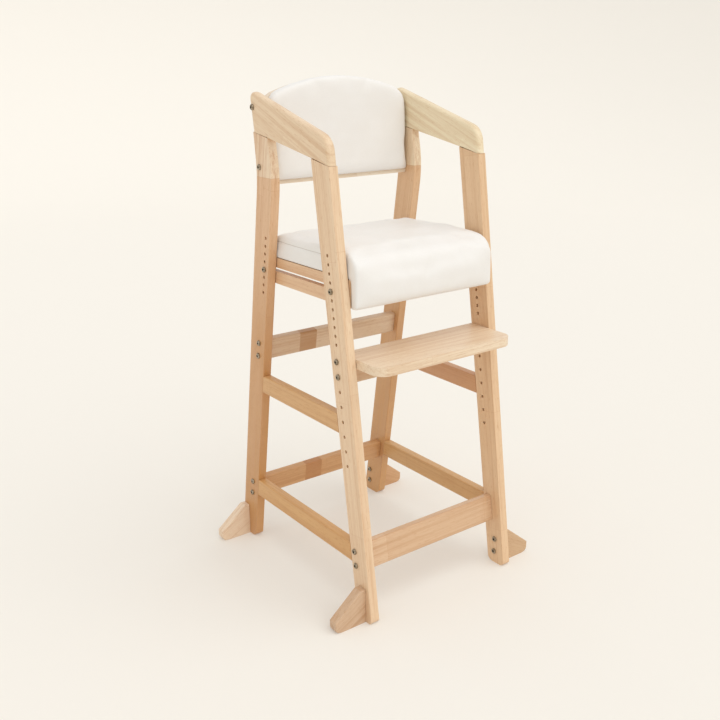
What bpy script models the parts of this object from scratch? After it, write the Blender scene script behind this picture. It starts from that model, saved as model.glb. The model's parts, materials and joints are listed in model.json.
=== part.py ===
"""Baby high chair: two glued side frames of beech-like boards, bolted together by three cross rails
and a backrest, with a padded seat and a footrest that bolt into rows of holes in the legs.

Units are metres, +Z is up, the chair faces -Y, and the origin is on the floor under the middle of
the chair. Left and right are -X and +X.
"""

import math

import bmesh
import bpy
from mathutils import Matrix, Vector

# ---------------------------------------------------------------- driving dimensions

INNER_WIDTH = 0.3464        # clear width between the side frames
FLOOR_DEPTH = 0.5090        # front of the front leg to rear of the rear leg, on the floor
BOARD = 0.0200              # thickness of legs, arms and rails
JOINT_GAP = 0.0003          # between pieces that are glued or pressed together
SIDE_GAP = 0.0010           # between a side frame and what slides inside it

FRONT_LEG_FOOT = 0.0485     # width of the front leg on the floor
FRONT_EDGE_LEAN = 0.1400    # run per rise of its front edge
FRONT_REAR_LEAN = 0.1490    # run per rise of its rear edge
REAR_LEG_WIDTH = 0.0575
REAR_LEG_LEAN = 0.1550
KNEE_Z = 0.8500             # middle of the bend where the rear leg turns upright
KNEE_REACH = 0.0400         # the bend's height above and below that
UPPER_FRONT_LEAN = 0.1900   # leans of the rear leg's edges above the knee
UPPER_REAR_LEAN = 0.1100

ARM_Z = 0.8885              # underside of the arm at the front edge
ARM_SLOPE = 0.1774          # rise of its underside towards the rear
ARM_TOP_SLOPE = 0.2880
ARM_FRONT_HEIGHT = 0.0500   # arm's height at the front, before rounding
ARM_REAR_LEAN = 0.1540
ARM_FRONT_RADIUS = 0.0400
ARM_REAR_RADIUS = 0.0120

SOFT_EDGE = 0.0070          # rounding of the outward edges of legs and arms
SMALL_EDGE = 0.0030         # rounding of every other edge
LEG_REAR_HEEL = 0.0160      # rounding under the legs
LEG_FRONT_TOE = 0.0100

LOWER_SIDE_RAIL = (0.1160, 0.1560)   # underside and top of the side rails
MIDDLE_SIDE_RAIL = (0.3800, 0.4190)
FRONT_RAIL_Z = 0.1280       # middle of each cross rail
REAR_LOWER_RAIL_Z = 0.1290
REAR_MIDDLE_RAIL_Z = 0.4770
FRONT_RAIL_HEIGHT = 0.0580
FRONT_RAIL_INSET = 0.0040   # rail's rear face ahead of the front leg's rear edge
REAR_RAIL_HEIGHT = 0.0470
REAR_RAIL_INSET = 0.0230    # rear rails' middle, behind the rear leg's front edge
RAIL_BOLT_PITCH = 0.0300

BOLT_RADIUS = 0.0030
HOLE_RADIUS = 0.0035
HEAD_RADIUS = 0.0061
HEAD_HEIGHT = 0.0034
SOCKET_RADIUS = 0.0024
SOCKET_DEPTH = 0.0022
CROSS_BOLT = 0.0500         # shank lengths
SEAT_BOLT = 0.0450
FOOT_BOLT = 0.0400
BOLT_END_ROOM = 0.0015      # free depth past a bolt's end in a blind hole
NUT_RADIUS = 0.0058
NUT_HEIGHT = 0.0050

SEAT_HOLE_TOP_Z = 0.7260
SEAT_PITCH = 0.0167         # vertical distance from hole to hole
SEAT_HOLES_FRONT = 11
SEAT_HOLES_REAR = 8
SEAT_STEP = 4               # holes above the one in use
FRONT_SEAT_HOLE_INSET = 0.0226   # ahead of the front leg's rear edge
REAR_SEAT_HOLE_INSET = 0.0147    # behind the rear leg's front edge

FOOTREST_ROW_DROP = 0.0334   # top footrest hole below the last front seat hole
FOOTREST_PITCH = 0.0294
FOOTREST_HOLES = 8
FOOTREST_HOLE_INSET = 0.0186

SEAT_RAIL_THICKNESS = 0.0140
SEAT_RAIL_ABOVE = 0.0245    # wood above and below the bolt line
SEAT_RAIL_BELOW = 0.0300
SLOT_HEIGHT = 0.0080
SLOT_AHEAD = 0.0162         # slot past the front bolt, and past the rear bolt
SLOT_BEHIND = 0.0390
SLOT_END_WOOD = 0.0150
SEAT_CROSS_THICKNESS = 0.0130
BASE_THICKNESS = 0.0090
CUSHION_SIDE_GAP = 0.0012
CUSHION_SKIRT = 0.0060      # cover wrapped around the base panel
CUSHION_HEIGHT = 0.0520
CUSHION_FLAP = 0.0200       # thickness of the padding down the front
CUSHION_FLAP_DROP = 0.0570  # how far it hangs below the side rails' top
CUSHION_NOSE = 0.0340
CUSHION_REAR_ROUND = 0.0120
CUSHION_EDGE = 0.0060

FOOTREST_DEPTH = 0.1250
FOOTREST_REAR = 0.0180      # board behind the bolt line
FOOTREST_THICKNESS = 0.0180
FOOTREST_CORNER = 0.0280
FOOTREST_NOSE = 0.0080
APRON_HEIGHT = 0.0360

BACK_BOLT_LOW_Z = 0.8670
BACK_BOLT_HIGH_Z = 0.9820
BACK_BOLT_LOW_INSET = 0.0131     # ahead of the rear leg's rear edge
BACK_BOLT_HIGH_INSET = 0.0090    # ahead of the arm's rear end
BACK_BOARD_THICKNESS = 0.0150
BACK_BOARD_BOTTOM_Z = 0.8320
BACK_BOARD_TOP_Z = 1.0340
BACK_CUSHION_BOTTOM_Z = 0.8395
BACK_CUSHION_TOP_Z = 1.0410
BACK_CUSHION_BASE_DEPTH = 0.0085 # its thickness along the bottom and along the top
BACK_CUSHION_TOP_DEPTH = 0.0300
BACK_ARCH_DROP = 0.0250     # fall of the arched top from its middle to its corner
BACK_CORNER_RADIUS = 0.0300
BACK_CUSHION_EDGE = 0.0070

FOOT_THICKNESS = 0.0220
FOOT_REACH = 0.0735         # outward reach of the stabiliser feet
FOOT_HEIGHT = 0.0740
FOOT_FLAT = 0.0120
FOOT_TIP_HEIGHT = 0.0240
FOOT_TIP_RADIUS = 0.0110
FOOT_BOLT_Z = (0.0270, 0.0570)
FRONT_FOOT_FROM_EDGE = 0.0305    # foot's middle behind the front leg's foremost point
REAR_FOOT_FROM_EDGE = 0.0215     # foot's middle ahead of the rear leg's rearmost point

ARC_STEPS = 3               # facets in a small rounding
KNEE_STEPS = 6              # facets in the rear leg's bend
HOLE_SIDES = 12
BOLT_SIDES = 12             # even and a multiple of six, for the hexagon socket

# ---------------------------------------------------------------- derived places

INNER_X = INNER_WIDTH / 2
OUTER_X = INNER_X + BOARD
FRONT_Y = -FLOOR_DEPTH / 2
REAR_Y = FLOOR_DEPTH / 2
SIDES = {"left": -1, "right": 1}


def front_leg_front(z):
    return FRONT_Y + FRONT_EDGE_LEAN * z


def front_leg_rear(z):
    return FRONT_Y + FRONT_LEG_FOOT + FRONT_REAR_LEAN * z


def past_knee(z):
    """Height above the knee, growing smoothly from zero through the bend."""
    inside = min(max(z - KNEE_Z + KNEE_REACH, 0), 2 * KNEE_REACH)
    return inside ** 2 / (4 * KNEE_REACH) + max(z - KNEE_Z - KNEE_REACH, 0)


def rear_leg_rear(z):
    return REAR_Y - REAR_LEG_LEAN * z + (REAR_LEG_LEAN + UPPER_REAR_LEAN) * past_knee(z)


def rear_leg_front(z):
    straight = REAR_Y - REAR_LEG_WIDTH - REAR_LEG_LEAN * z
    return straight + (REAR_LEG_LEAN + UPPER_FRONT_LEAN) * past_knee(z)


def crossing(point_a, slope_a, point_b, slope_b):
    """Where two lines in the (y, z) plane meet; a slope is dz/dy."""
    y = (point_b[1] - point_a[1] + slope_a * point_a[0] - slope_b * point_b[0]) / (slope_a - slope_b)
    return y, point_a[1] + slope_a * (y - point_a[0])


KNEE_TOP = KNEE_Z + KNEE_REACH
KNEE_HEIGHTS = [KNEE_TOP - 2 * KNEE_REACH * k / KNEE_STEPS for k in range(KNEE_STEPS + 1)]
ARM_FRONT_POINT = (front_leg_front(ARM_Z), ARM_Z)
FRONT_LEG_TOP_REAR = crossing(
    ARM_FRONT_POINT, ARM_SLOPE, (front_leg_rear(0), 0), 1 / FRONT_REAR_LEAN)
REAR_LEG_TOP_FRONT = crossing(
    ARM_FRONT_POINT, ARM_SLOPE, (rear_leg_front(KNEE_TOP), KNEE_TOP), 1 / UPPER_FRONT_LEAN)
REAR_LEG_TOP_REAR = crossing(
    ARM_FRONT_POINT, ARM_SLOPE, (rear_leg_rear(KNEE_TOP), KNEE_TOP), 1 / UPPER_REAR_LEAN)
ARM_NOSE_Z = ARM_Z + ARM_FRONT_HEIGHT
ARM_NOSE = (front_leg_front(ARM_NOSE_Z), ARM_NOSE_Z)
ARM_REAR_TOP = crossing(ARM_NOSE, ARM_TOP_SLOPE, REAR_LEG_TOP_REAR, 1 / ARM_REAR_LEAN)


def seat_hole_z(step):
    return SEAT_HOLE_TOP_Z - step * SEAT_PITCH


def footrest_hole_z(step):
    return seat_hole_z(SEAT_HOLES_FRONT - 1) - FOOTREST_ROW_DROP - step * FOOTREST_PITCH


def front_seat_hole(step):
    z = seat_hole_z(step)
    return front_leg_rear(z) - FRONT_SEAT_HOLE_INSET, z


def rear_seat_hole(step):
    z = seat_hole_z(step)
    return rear_leg_front(z) + REAR_SEAT_HOLE_INSET, z


def footrest_hole(step):
    z = footrest_hole_z(step)
    return front_leg_rear(z) - FOOTREST_HOLE_INSET, z


def bolt_pair(middle, lean):
    """Two bolt places either side of a rail's middle, along the leg it meets."""
    reach = RAIL_BOLT_PITCH / 2 / math.hypot(1, lean)
    return [(middle[0] + sign * reach * lean, middle[1] + sign * reach) for sign in (1, -1)]


FRONT_RAIL_MIDDLE = (front_leg_rear(FRONT_RAIL_Z) - BOARD / 2 - FRONT_RAIL_INSET, FRONT_RAIL_Z)
REAR_LOWER_MIDDLE = (rear_leg_front(REAR_LOWER_RAIL_Z) + REAR_RAIL_INSET, REAR_LOWER_RAIL_Z)
REAR_MIDDLE_MIDDLE = (rear_leg_front(REAR_MIDDLE_RAIL_Z) + REAR_RAIL_INSET, REAR_MIDDLE_RAIL_Z)
FRONT_RAIL_BOLTS = bolt_pair(FRONT_RAIL_MIDDLE, FRONT_REAR_LEAN)
REAR_LOWER_BOLTS = bolt_pair(REAR_LOWER_MIDDLE, -REAR_LEG_LEAN)
REAR_MIDDLE_BOLTS = bolt_pair(REAR_MIDDLE_MIDDLE, -REAR_LEG_LEAN)
FOOTREST_BOLTS = [footrest_hole(0), footrest_hole(1)]
FRONT_SEAT_BOLT = front_seat_hole(SEAT_STEP)
REAR_SEAT_BOLT = rear_seat_hole(SEAT_STEP)
FRONT_FOOT_Y = FRONT_Y + FRONT_FOOT_FROM_EDGE
REAR_FOOT_Y = REAR_Y - REAR_FOOT_FROM_EDGE
FRONT_FOOT_BOLTS = [(FRONT_FOOT_Y, z) for z in FOOT_BOLT_Z]
REAR_FOOT_BOLTS = [(REAR_FOOT_Y, z) for z in FOOT_BOLT_Z]
BACK_LOW_BOLT = (rear_leg_rear(BACK_BOLT_LOW_Z) - BACK_BOLT_LOW_INSET, BACK_BOLT_LOW_Z)
BACK_HIGH_BOLT = (
    REAR_LEG_TOP_REAR[0] + ARM_REAR_LEAN * (BACK_BOLT_HIGH_Z - REAR_LEG_TOP_REAR[1])
    - BACK_BOLT_HIGH_INSET,
    BACK_BOLT_HIGH_Z)
BACK_LEAN = (BACK_HIGH_BOLT[0] - BACK_LOW_BOLT[0]) / (BACK_HIGH_BOLT[1] - BACK_LOW_BOLT[1])

# ---------------------------------------------------------------- shaping tools


def clear_scene():
    for old in list(bpy.data.objects):
        bpy.data.objects.remove(old, do_unlink=True)


def material(name, colour, roughness, metallic=0.0):
    made = bpy.data.materials.new(name)
    made.use_nodes = True
    shader = made.node_tree.nodes["Principled BSDF"]
    shader.inputs["Base Color"].default_value = (*colour, 1.0)
    shader.inputs["Roughness"].default_value = roughness
    shader.inputs["Metallic"].default_value = metallic
    return made


def new_object(name, mesh, finish, parent):
    made = bpy.data.objects.new(name, mesh)
    bpy.context.scene.collection.objects.link(made)
    if not mesh.materials:
        mesh.materials.append(finish)
    made.parent = parent
    return made


def mesh_of(name, bm):
    bmesh.ops.recalc_face_normals(bm, faces=bm.faces)
    mesh = bpy.data.meshes.new(name)
    bm.to_mesh(mesh)
    bm.free()
    return mesh


def round_corners(corners, steps=ARC_STEPS):
    """Outline points from corners (u, v, radius); each radius above zero becomes an arc."""
    points = []
    for i, (u, v, radius) in enumerate(corners):
        here = Vector((u, v))
        before = Vector(corners[i - 1][:2]) - here
        after = Vector(corners[(i + 1) % len(corners)][:2]) - here
        if radius <= 0:
            points.append((u, v))
            continue
        before_length = before.length
        after_length = after.length
        before.normalize()
        after.normalize()
        half = before.angle(after) / 2
        reach = min(radius / math.tan(half), 0.48 * before_length, 0.48 * after_length)
        bulge = reach * math.tan(half)
        centre = here + (before + after).normalized() * (bulge / math.sin(half))
        start = here + before * reach - centre
        turn = start.angle_signed(here + after * reach - centre)
        for k in range(steps + 1):
            spoke = start.copy()
            spoke.rotate(Matrix.Rotation(-turn * k / steps, 2))
            points.append((centre.x + spoke.x, centre.y + spoke.y))
    return points


PLANES = {
    "X": lambda u, v, w: (w, u, v),   # outline in (y, z), thickness along X
    "Y": lambda u, v, w: (u, w, v),   # outline in (x, z), thickness along Y
    "Z": lambda u, v, w: (u, v, w),   # outline in (x, y), thickness along Z
}


def slab(outline, low, high, along):
    """A bmesh prism of the outline, from low to high along an axis."""
    bm = bmesh.new()
    place = PLANES[along]
    face = bm.faces.new([bm.verts.new(place(u, v, low)) for u, v in outline])
    grown = bmesh.ops.extrude_face_region(bm, geom=[face])
    fresh = [g for g in grown["geom"] if isinstance(g, bmesh.types.BMVert)]
    bmesh.ops.translate(bm, verts=fresh, vec=Vector(place(0, 0, high - low)))
    bmesh.ops.recalc_face_normals(bm, faces=bm.faces)
    return bm


def round_edges(bm, radius, wanted, steps=ARC_STEPS):
    edges = [e for e in bm.edges if wanted(e)]
    bmesh.ops.bevel(
        bm, geom=edges, offset=radius, offset_type="OFFSET", segments=steps, profile=0.5,
        affect="EDGES", clamp_overlap=True, material=-1)
    bmesh.ops.remove_doubles(bm, verts=bm.verts, dist=1e-5)


def rim_edges(axis, low, high):
    """Chooses the edges of a slab's two faces."""
    def wanted(edge):
        ends = [v.co[axis] for v in edge.verts]
        return all(abs(w - low) < 1e-6 for w in ends) or all(abs(w - high) < 1e-6 for w in ends)
    return wanted


def near(value, target):
    return abs(value - target) < 1e-5


def hole_cutter(name, holes):
    """One wire object of round bars along X; a hole is (y, z, from x, to x, radius)."""
    bm = bmesh.new()
    for y, z, x_from, x_to, radius in holes:
        turn = Matrix.Rotation(math.pi / 2, 4, "Y")
        middle = Matrix.Translation(((x_from + x_to) / 2, y, z))
        bmesh.ops.create_cone(
            bm, cap_ends=True, segments=HOLE_SIDES, radius1=radius, radius2=radius,
            depth=abs(x_to - x_from), matrix=middle @ turn)
    return cutter_object(name, bm)


def cutter_object(name, bm):
    cutter = bpy.data.objects.new(name, mesh_of(name, bm))
    bpy.context.scene.collection.objects.link(cutter)
    cutter.hide_render = True
    cutter.display_type = "WIRE"
    return cutter


def cut(target, cutter):
    boolean = target.modifiers.new(cutter.name, "BOOLEAN")
    boolean.operation = "DIFFERENCE"
    boolean.solver = "EXACT"
    boolean.object = cutter


def through(places, side):
    """Holes right through a side frame's board."""
    ends = (side * (INNER_X - 0.005), side * (OUTER_X + 0.005))
    return [(y, z, *ends, HOLE_RADIUS) for y, z in places]


def end_holes(places, end_x, shank, side):
    """Blind holes in a cross piece's end, for bolts whose heads sit on the side frame."""
    tip = OUTER_X + JOINT_GAP - shank - BOLT_END_ROOM
    return [(y, z, side * tip, side * (end_x + 0.005), HOLE_RADIUS) for y, z in places]


# ---------------------------------------------------------------- side frames


def side_span(side):
    return sorted((side * INNER_X, side * OUTER_X))


def is_long_edge(edge, line_y):
    """True for an edge that runs along a leg's front or rear line on one of its faces."""
    a, b = (v.co for v in edge.verts)
    return near(a.x, b.x) and all(abs(c.y - line_y(c.z)) < 4e-4 for c in (a, b))


def make_front_leg(hand, side, wood, chair):
    low, high = side_span(side)
    top_gap = JOINT_GAP / math.cos(math.atan(ARM_SLOPE))
    outline = round_corners([
        (front_leg_front(0), 0, LEG_FRONT_TOE),
        (front_leg_rear(0), 0, LEG_REAR_HEEL),
        (FRONT_LEG_TOP_REAR[0], FRONT_LEG_TOP_REAR[1] - top_gap, 0),
        (ARM_FRONT_POINT[0], ARM_FRONT_POINT[1] - top_gap, 0)])
    bm = slab(outline, low, high, "X")
    round_edges(bm, SOFT_EDGE, lambda e: is_long_edge(e, front_leg_front))
    round_edges(bm, SMALL_EDGE, lambda e: is_long_edge(e, front_leg_rear))
    name = f"front_leg_{hand}"
    leg = new_object(name, mesh_of(name, bm), wood, chair)
    holes = through([front_seat_hole(i) for i in range(SEAT_HOLES_FRONT)], side)
    holes += through([footrest_hole(i) for i in range(FOOTREST_HOLES)], side)
    holes += through(FRONT_RAIL_BOLTS + FRONT_FOOT_BOLTS, side)
    cut(leg, hole_cutter(f"{name}_holes", holes))


def make_rear_leg(hand, side, wood, chair):
    low, high = side_span(side)
    top_gap = JOINT_GAP / math.cos(math.atan(ARM_SLOPE))
    outline = round_corners([
        (rear_leg_front(0), 0, LEG_REAR_HEEL),
        (rear_leg_rear(0), 0, LEG_FRONT_TOE),
        *[(rear_leg_rear(z), z, 0) for z in reversed(KNEE_HEIGHTS)],
        (REAR_LEG_TOP_REAR[0], REAR_LEG_TOP_REAR[1] - top_gap, 0),
        (REAR_LEG_TOP_FRONT[0], REAR_LEG_TOP_FRONT[1] - top_gap, 0),
        *[(rear_leg_front(z), z, 0) for z in KNEE_HEIGHTS]])
    bm = slab(outline, low, high, "X")
    round_edges(bm, SOFT_EDGE, lambda e: is_long_edge(e, rear_leg_rear))
    round_edges(bm, SMALL_EDGE, lambda e: is_long_edge(e, rear_leg_front))
    name = f"rear_leg_{hand}"
    leg = new_object(name, mesh_of(name, bm), wood, chair)
    holes = through([rear_seat_hole(i) for i in range(SEAT_HOLES_REAR)], side)
    holes += through(REAR_LOWER_BOLTS + REAR_MIDDLE_BOLTS + REAR_FOOT_BOLTS, side)
    holes += through([BACK_LOW_BOLT], side)
    cut(leg, hole_cutter(f"{name}_holes", holes))


def make_arm(hand, side, wood, chair):
    low, high = side_span(side)
    outline = round_corners([
        (*ARM_FRONT_POINT, 0),
        (*FRONT_LEG_TOP_REAR, 0),
        (*REAR_LEG_TOP_FRONT, 0),
        (*REAR_LEG_TOP_REAR, 0),
        (*ARM_REAR_TOP, ARM_REAR_RADIUS),
        (*ARM_NOSE, ARM_FRONT_RADIUS)], steps=6)
    bm = slab(outline, low, high, "X")
    on_rim = rim_edges(0, low, high)

    def under(edge):
        return all(near(v.co.z, ARM_Z + ARM_SLOPE * (v.co.y - ARM_FRONT_POINT[0])) for v in edge.verts)

    def between_legs(edge):
        ends = [v.co.y for v in edge.verts]
        return near(min(ends), FRONT_LEG_TOP_REAR[0]) and near(max(ends), REAR_LEG_TOP_FRONT[0])

    round_edges(bm, SOFT_EDGE, lambda e: on_rim(e) and not under(e))
    round_edges(bm, SMALL_EDGE, lambda e: on_rim(e) and between_legs(e))
    name = f"arm_{hand}"
    arm = new_object(name, mesh_of(name, bm), wood, chair)
    cut(arm, hole_cutter(f"{name}_hole", through([BACK_HIGH_BOLT], side)))


def make_side_rail(name, span, side, wood, chair):
    low, high = side_span(side)
    bottom, top = span
    outline = [
        (front_leg_rear(bottom) + JOINT_GAP, bottom),
        (rear_leg_front(bottom) - JOINT_GAP, bottom),
        (rear_leg_front(top) - JOINT_GAP, top),
        (front_leg_rear(top) + JOINT_GAP, top)]
    bm = slab(outline, low, high, "X")
    on_rim = rim_edges(0, low, high)
    round_edges(bm, SMALL_EDGE, lambda e: on_rim(e) and near(e.verts[0].co.z, e.verts[1].co.z))
    new_object(name, mesh_of(name, bm), wood, chair)


# ---------------------------------------------------------------- cross rails and feet


def make_cross_rail(name, middle, height, lean, bolts, wood, chair):
    """A rail from side frame to side frame, tilted like the legs it is bolted between."""
    along = Vector((lean, 1)).normalized() * height / 2
    across = Vector((1, -lean)).normalized() * BOARD / 2
    corners = [Vector(middle) + a * along + b * across for a, b in ((-1, -1), (-1, 1), (1, 1), (1, -1))]
    outline = round_corners([(c.x, c.y, SMALL_EDGE + 0.001) for c in corners])
    end_x = INNER_X - JOINT_GAP
    rail = new_object(name, mesh_of(name, slab(outline, -end_x, end_x, "X")), wood, chair)
    holes = []
    for side in SIDES.values():
        holes += end_holes(bolts, end_x, CROSS_BOLT, side)
    cut(rail, hole_cutter(f"{name}_holes", holes))


def make_foot(name, side, middle_y, bolts, wood, chair):
    """A sloping stabiliser plate that stands out from the leg's outer face."""
    root = OUTER_X + JOINT_GAP
    tip = OUTER_X + FOOT_REACH
    outline = round_corners([
        (side * root, 0, 0),
        (side * tip, 0, FOOT_TIP_RADIUS),
        (side * tip, FOOT_TIP_HEIGHT, 0.002),
        (side * (root + FOOT_FLAT), FOOT_HEIGHT, 0.004),
        (side * root, FOOT_HEIGHT, 0)])
    low, high = middle_y - FOOT_THICKNESS / 2, middle_y + FOOT_THICKNESS / 2
    bm = slab(outline, low, high, "Y")
    on_rim = rim_edges(1, low, high)
    flat_sides = (
        lambda e: all(near(v.co.z, 0) for v in e.verts),
        lambda e: all(near(abs(v.co.x), root) for v in e.verts))
    round_edges(bm, SMALL_EDGE, lambda e: on_rim(e) and not any(f(e) for f in flat_sides))
    foot = new_object(name, mesh_of(name, bm), wood, chair)
    bolt_tip = INNER_X - JOINT_GAP + FOOT_BOLT + BOLT_END_ROOM
    holes = [(y, z, side * (root - 0.005), side * bolt_tip, HOLE_RADIUS) for y, z in bolts]
    cut(foot, hole_cutter(f"{name}_holes", holes))


# ---------------------------------------------------------------- fasteners


def bolt_mesh(length, metal):
    """A domed socket bolt along +X: the head starts at the origin, the shank points to -X.

    Every other point of the socket's rings lies on the flats of its hexagon.
    """
    tip_chamfer = 0.0008
    flats = math.cos(math.pi / 6)
    profile = [
        (-length, BOLT_RADIUS - tip_chamfer, 1),
        (-length + tip_chamfer, BOLT_RADIUS, 1),
        (0, BOLT_RADIUS, 1),
        (0, HEAD_RADIUS, 1),
        (0.25 * HEAD_HEIGHT, HEAD_RADIUS, 1),
        (0.75 * HEAD_HEIGHT, 0.78 * HEAD_RADIUS, 1),
        (HEAD_HEIGHT, 0.52 * HEAD_RADIUS, 1),
        (HEAD_HEIGHT, SOCKET_RADIUS, flats),
        (HEAD_HEIGHT - SOCKET_DEPTH, SOCKET_RADIUS, flats)]
    bm = bmesh.new()
    rings = []
    for x, radius, pull in profile:
        ring = []
        for i in range(BOLT_SIDES):
            turn = 2 * math.pi * i / BOLT_SIDES
            reach = radius * (pull if i % 2 else 1)
            ring.append(bm.verts.new((x, reach * math.cos(turn), reach * math.sin(turn))))
        rings.append(ring)
    for low, high in zip(rings, rings[1:]):
        for i in range(BOLT_SIDES):
            j = (i + 1) % BOLT_SIDES
            bm.faces.new((low[i], low[j], high[j], high[i]))
    bm.faces.new(rings[0])
    bm.faces.new(rings[-1])
    mesh = mesh_of(f"bolt_{round(length * 1000)}", bm)
    mesh.materials.append(metal)
    return mesh


def place_bolts(stem, places, mesh, metal, chair):
    """One bolt per place and side, with its head on the outer face of the side frame."""
    for hand, side in SIDES.items():
        for label, (y, z) in places.items():
            bolt = new_object(f"{stem}_{hand}{label}", mesh, metal, chair)
            bolt.location = (side * (OUTER_X + JOINT_GAP), y, z)
            bolt.rotation_euler = (0, 0, 0 if side > 0 else math.pi)


def place_foot_bolts(stem, places, mesh, metal, chair):
    """Foot bolts start from the leg's inner face and point outward."""
    for hand, side in SIDES.items():
        for label, (y, z) in places.items():
            bolt = new_object(f"{stem}_{hand}{label}", mesh, metal, chair)
            bolt.location = (side * (INNER_X - JOINT_GAP), y, z)
            bolt.rotation_euler = (0, 0, math.pi if side > 0 else 0)


def make_seat_nut(hand, side, metal, chair):
    """Hex nut behind the slotted seat rail, on the front seat bolt."""
    face = INNER_X - SIDE_GAP - SEAT_RAIL_THICKNESS - JOINT_GAP
    low, high = sorted((side * face, side * (face - NUT_HEIGHT)))
    y, z = FRONT_SEAT_BOLT
    outline = [
        (y + NUT_RADIUS * math.cos(k * math.pi / 3), z + NUT_RADIUS * math.sin(k * math.pi / 3))
        for k in range(6)]
    name = f"seat_nut_{hand}"
    nut = new_object(name, mesh_of(name, slab(outline, low, high, "X")), metal, chair)
    thread = (y, z, low - 0.005, high + 0.005, HOLE_RADIUS)
    cut(nut, hole_cutter(f"{name}_hole", [thread]))


# ---------------------------------------------------------------- seat

SEAT_RAIL_OUT = INNER_X - SIDE_GAP
SEAT_RAIL_IN = SEAT_RAIL_OUT - SEAT_RAIL_THICKNESS
SLOT_FRONT = FRONT_SEAT_BOLT[0] - SLOT_AHEAD
SLOT_REAR = REAR_SEAT_BOLT[0] + SLOT_BEHIND
SEAT_FRAME_FRONT = SLOT_FRONT - SLOT_END_WOOD
SEAT_FRAME_REAR = SLOT_REAR + SLOT_END_WOOD
SEAT_RAIL_TOP = FRONT_SEAT_BOLT[1] + SEAT_RAIL_ABOVE
SEAT_RAIL_BOTTOM = FRONT_SEAT_BOLT[1] - SEAT_RAIL_BELOW
BASE_BOTTOM = SEAT_RAIL_TOP + JOINT_GAP
BASE_TOP = BASE_BOTTOM + BASE_THICKNESS
CUSHION_HALF = INNER_X - CUSHION_SIDE_GAP
CUSHION_FRONT = SEAT_FRAME_FRONT - JOINT_GAP - CUSHION_FLAP
CUSHION_REAR = REAR_SEAT_BOLT[0] - 0.002


def make_seat_rail(hand, side, wood, chair):
    low, high = sorted((side * SEAT_RAIL_IN, side * SEAT_RAIL_OUT))
    outline = round_corners([
        (SEAT_FRAME_FRONT, SEAT_RAIL_BOTTOM, SMALL_EDGE),
        (SEAT_FRAME_REAR, SEAT_RAIL_BOTTOM, SMALL_EDGE),
        (SEAT_FRAME_REAR, SEAT_RAIL_TOP, SMALL_EDGE),
        (SEAT_FRAME_FRONT, SEAT_RAIL_TOP, SMALL_EDGE)])
    name = f"seat_rail_{hand}"
    rail = new_object(name, mesh_of(name, slab(outline, low, high, "X")), wood, chair)
    bolt_z = FRONT_SEAT_BOLT[1]
    half = SLOT_HEIGHT / 2
    slot = round_corners([
        (SLOT_FRONT, bolt_z - half, half),
        (SLOT_REAR, bolt_z - half, half),
        (SLOT_REAR, bolt_z + half, half),
        (SLOT_FRONT, bolt_z + half, half)])
    cut(rail, cutter_object(f"{name}_slot", slab(slot, low - 0.005, high + 0.005, "X")))


def make_seat_cross_rail(wood, chair):
    half = SEAT_RAIL_IN - JOINT_GAP
    outline = round_corners([
        (SEAT_FRAME_FRONT, SEAT_RAIL_BOTTOM, 0.002),
        (SEAT_FRAME_FRONT + SEAT_CROSS_THICKNESS, SEAT_RAIL_BOTTOM, 0.002),
        (SEAT_FRAME_FRONT + SEAT_CROSS_THICKNESS, SEAT_RAIL_TOP, 0.002),
        (SEAT_FRAME_FRONT, SEAT_RAIL_TOP, 0.002)])
    name = "seat_front_rail"
    new_object(name, mesh_of(name, slab(outline, -half, half, "X")), wood, chair)


def make_seat_base(wood, chair):
    half = CUSHION_HALF - CUSHION_SKIRT - JOINT_GAP
    rear = CUSHION_REAR - CUSHION_SKIRT - JOINT_GAP
    outline = round_corners([
        (-half, SEAT_FRAME_FRONT, 0.004),
        (half, SEAT_FRAME_FRONT, 0.004),
        (half, rear, 0.012),
        (-half, rear, 0.012)])
    name = "seat_base"
    new_object(name, mesh_of(name, slab(outline, BASE_BOTTOM, BASE_TOP, "Z")), wood, chair)


def make_seat_cushion(vinyl, chair):
    """Padded cover over the base panel: a waterfall front that hangs down over the front rail."""
    bottom = BASE_BOTTOM
    top = bottom + CUSHION_HEIGHT
    hem = SEAT_RAIL_TOP - CUSHION_FLAP_DROP
    flap_rear = CUSHION_FRONT + CUSHION_FLAP
    outline = round_corners([
        (CUSHION_FRONT, hem, 0.009),
        (flap_rear, hem, 0.006),
        (flap_rear, bottom, 0),
        (CUSHION_REAR, bottom, 0.002),
        (CUSHION_REAR, top - 0.006, CUSHION_REAR_ROUND),
        (CUSHION_FRONT + 0.12, top, 0.060),
        (CUSHION_FRONT, top - 0.006, CUSHION_NOSE)], steps=5)
    bm = slab(outline, -CUSHION_HALF, CUSHION_HALF, "X")
    on_rim = rim_edges(0, -CUSHION_HALF, CUSHION_HALF)

    def showing(edge):
        return not all(near(v.co.z, bottom) for v in edge.verts)

    round_edges(bm, CUSHION_EDGE, lambda e: on_rim(e) and showing(e), steps=2)
    cushion = new_object("seat_cushion", mesh_of("seat_cushion", bm), vinyl, chair)
    half = CUSHION_HALF - CUSHION_SKIRT
    pocket = [
        (-half, flap_rear - 0.0001),
        (half, flap_rear - 0.0001),
        (half, CUSHION_REAR - CUSHION_SKIRT),
        (-half, CUSHION_REAR - CUSHION_SKIRT)]
    room = slab(pocket, bottom - 0.005, BASE_TOP + JOINT_GAP, "Z")
    cut(cushion, cutter_object("seat_cushion_pocket", room))


# ---------------------------------------------------------------- footrest


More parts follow.
